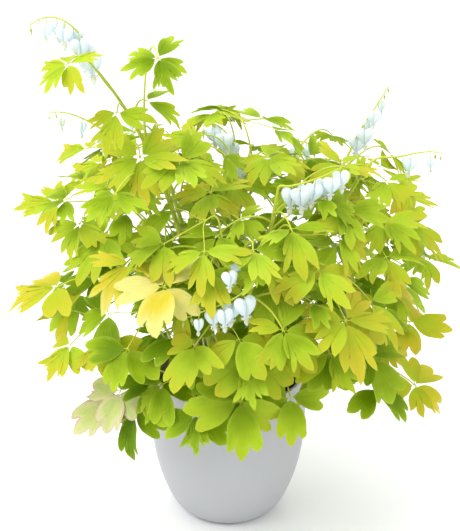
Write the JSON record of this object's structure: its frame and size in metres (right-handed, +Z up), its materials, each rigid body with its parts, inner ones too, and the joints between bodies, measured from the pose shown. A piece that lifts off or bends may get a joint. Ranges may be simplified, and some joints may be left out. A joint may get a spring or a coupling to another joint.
{
  "type": "bleeding heart plant",
  "caption": "Potted bleeding heart perennial: a mound of golden divided leaves on branching stems, with arching sprays of white heart-shaped flowers, in a plain tapering pot.",
  "frame": {"origin": "centre of the pot's flat foot, on the surface that the pot stands on", "axes": "+Z up along the pot's axis, -Y to the plant's front, +X to the right as seen from the front"},
  "size_m": [0.5855, 0.5252, 0.6852],
  "materials": {
    "pot": "matte, smooth, light grey",
    "liner": "thin black moulded plastic",
    "soil": "moist peat and bark crumb",
    "leaf_lime": "soft satin leaf, golden lime",
    "leaf_olive": "soft satin leaf, olive yellow",
    "leaf_yellow": "soft satin leaf, cream yellow",
    "leaf_withered": "dry curled leaf, beige with brown edges",
    "leaf_green": "soft satin leaf, deep green",
    "petal_white": "translucent waxy white petal"
  },
  "bodies": {
    "root": {"cover_pot": "pot", "nursery_pot": "liner", "potting_soil": "soil", "shoot_tall_left": "leaf_lime", "shoot_left": "leaf_lime", "shoot_top": "leaf_lime", "shoot_centre": "leaf_lime", "shoot_right": "leaf_lime", "shoot_far_right": "leaf_lime", "shoot_front": "leaf_lime", "shoot_middle": "leaf_lime", "shoot_back_left": "leaf_lime", "shoot_back_right": "leaf_lime", "frond_yellow": "leaf_yellow", "frond_amber": "leaf_yellow", "frond_left_high": "leaf_olive", "frond_left_low": "leaf_lime", "frond_left_front": "leaf_lime", "frond_withered": "leaf_withered", "frond_pale_left": "leaf_lime", "frond_hanging": "leaf_green", "frond_front_left": "leaf_lime", "frond_front": "leaf_lime", "frond_rim_left": "leaf_lime", "frond_rim_right": "leaf_lime", "frond_front_high": "leaf_lime", "frond_front_right": "leaf_lime", "frond_gold": "leaf_lime", "frond_right_front": "leaf_lime", "frond_right_pale": "leaf_lime", "frond_right_dark": "leaf_green", "frond_right_low": "leaf_olive", "frond_right_high": "leaf_lime", "frond_left_back": "leaf_lime", "frond_back_left": "leaf_lime", "frond_back": "leaf_lime", "frond_back_right": "leaf_lime", "frond_right_back": "leaf_lime", "flowers_tall_left": "petal_white", "flowers_left": "petal_white", "flowers_top": "petal_white", "flowers_centre": "petal_white", "flowers_right": "petal_white", "flowers_far_right": "petal_white", "flowers_front": "petal_white", "flowers_middle": "petal_white", "flowers_back_left": "petal_white", "flowers_back_right": "petal_white"}
  },
  "joints": []
}
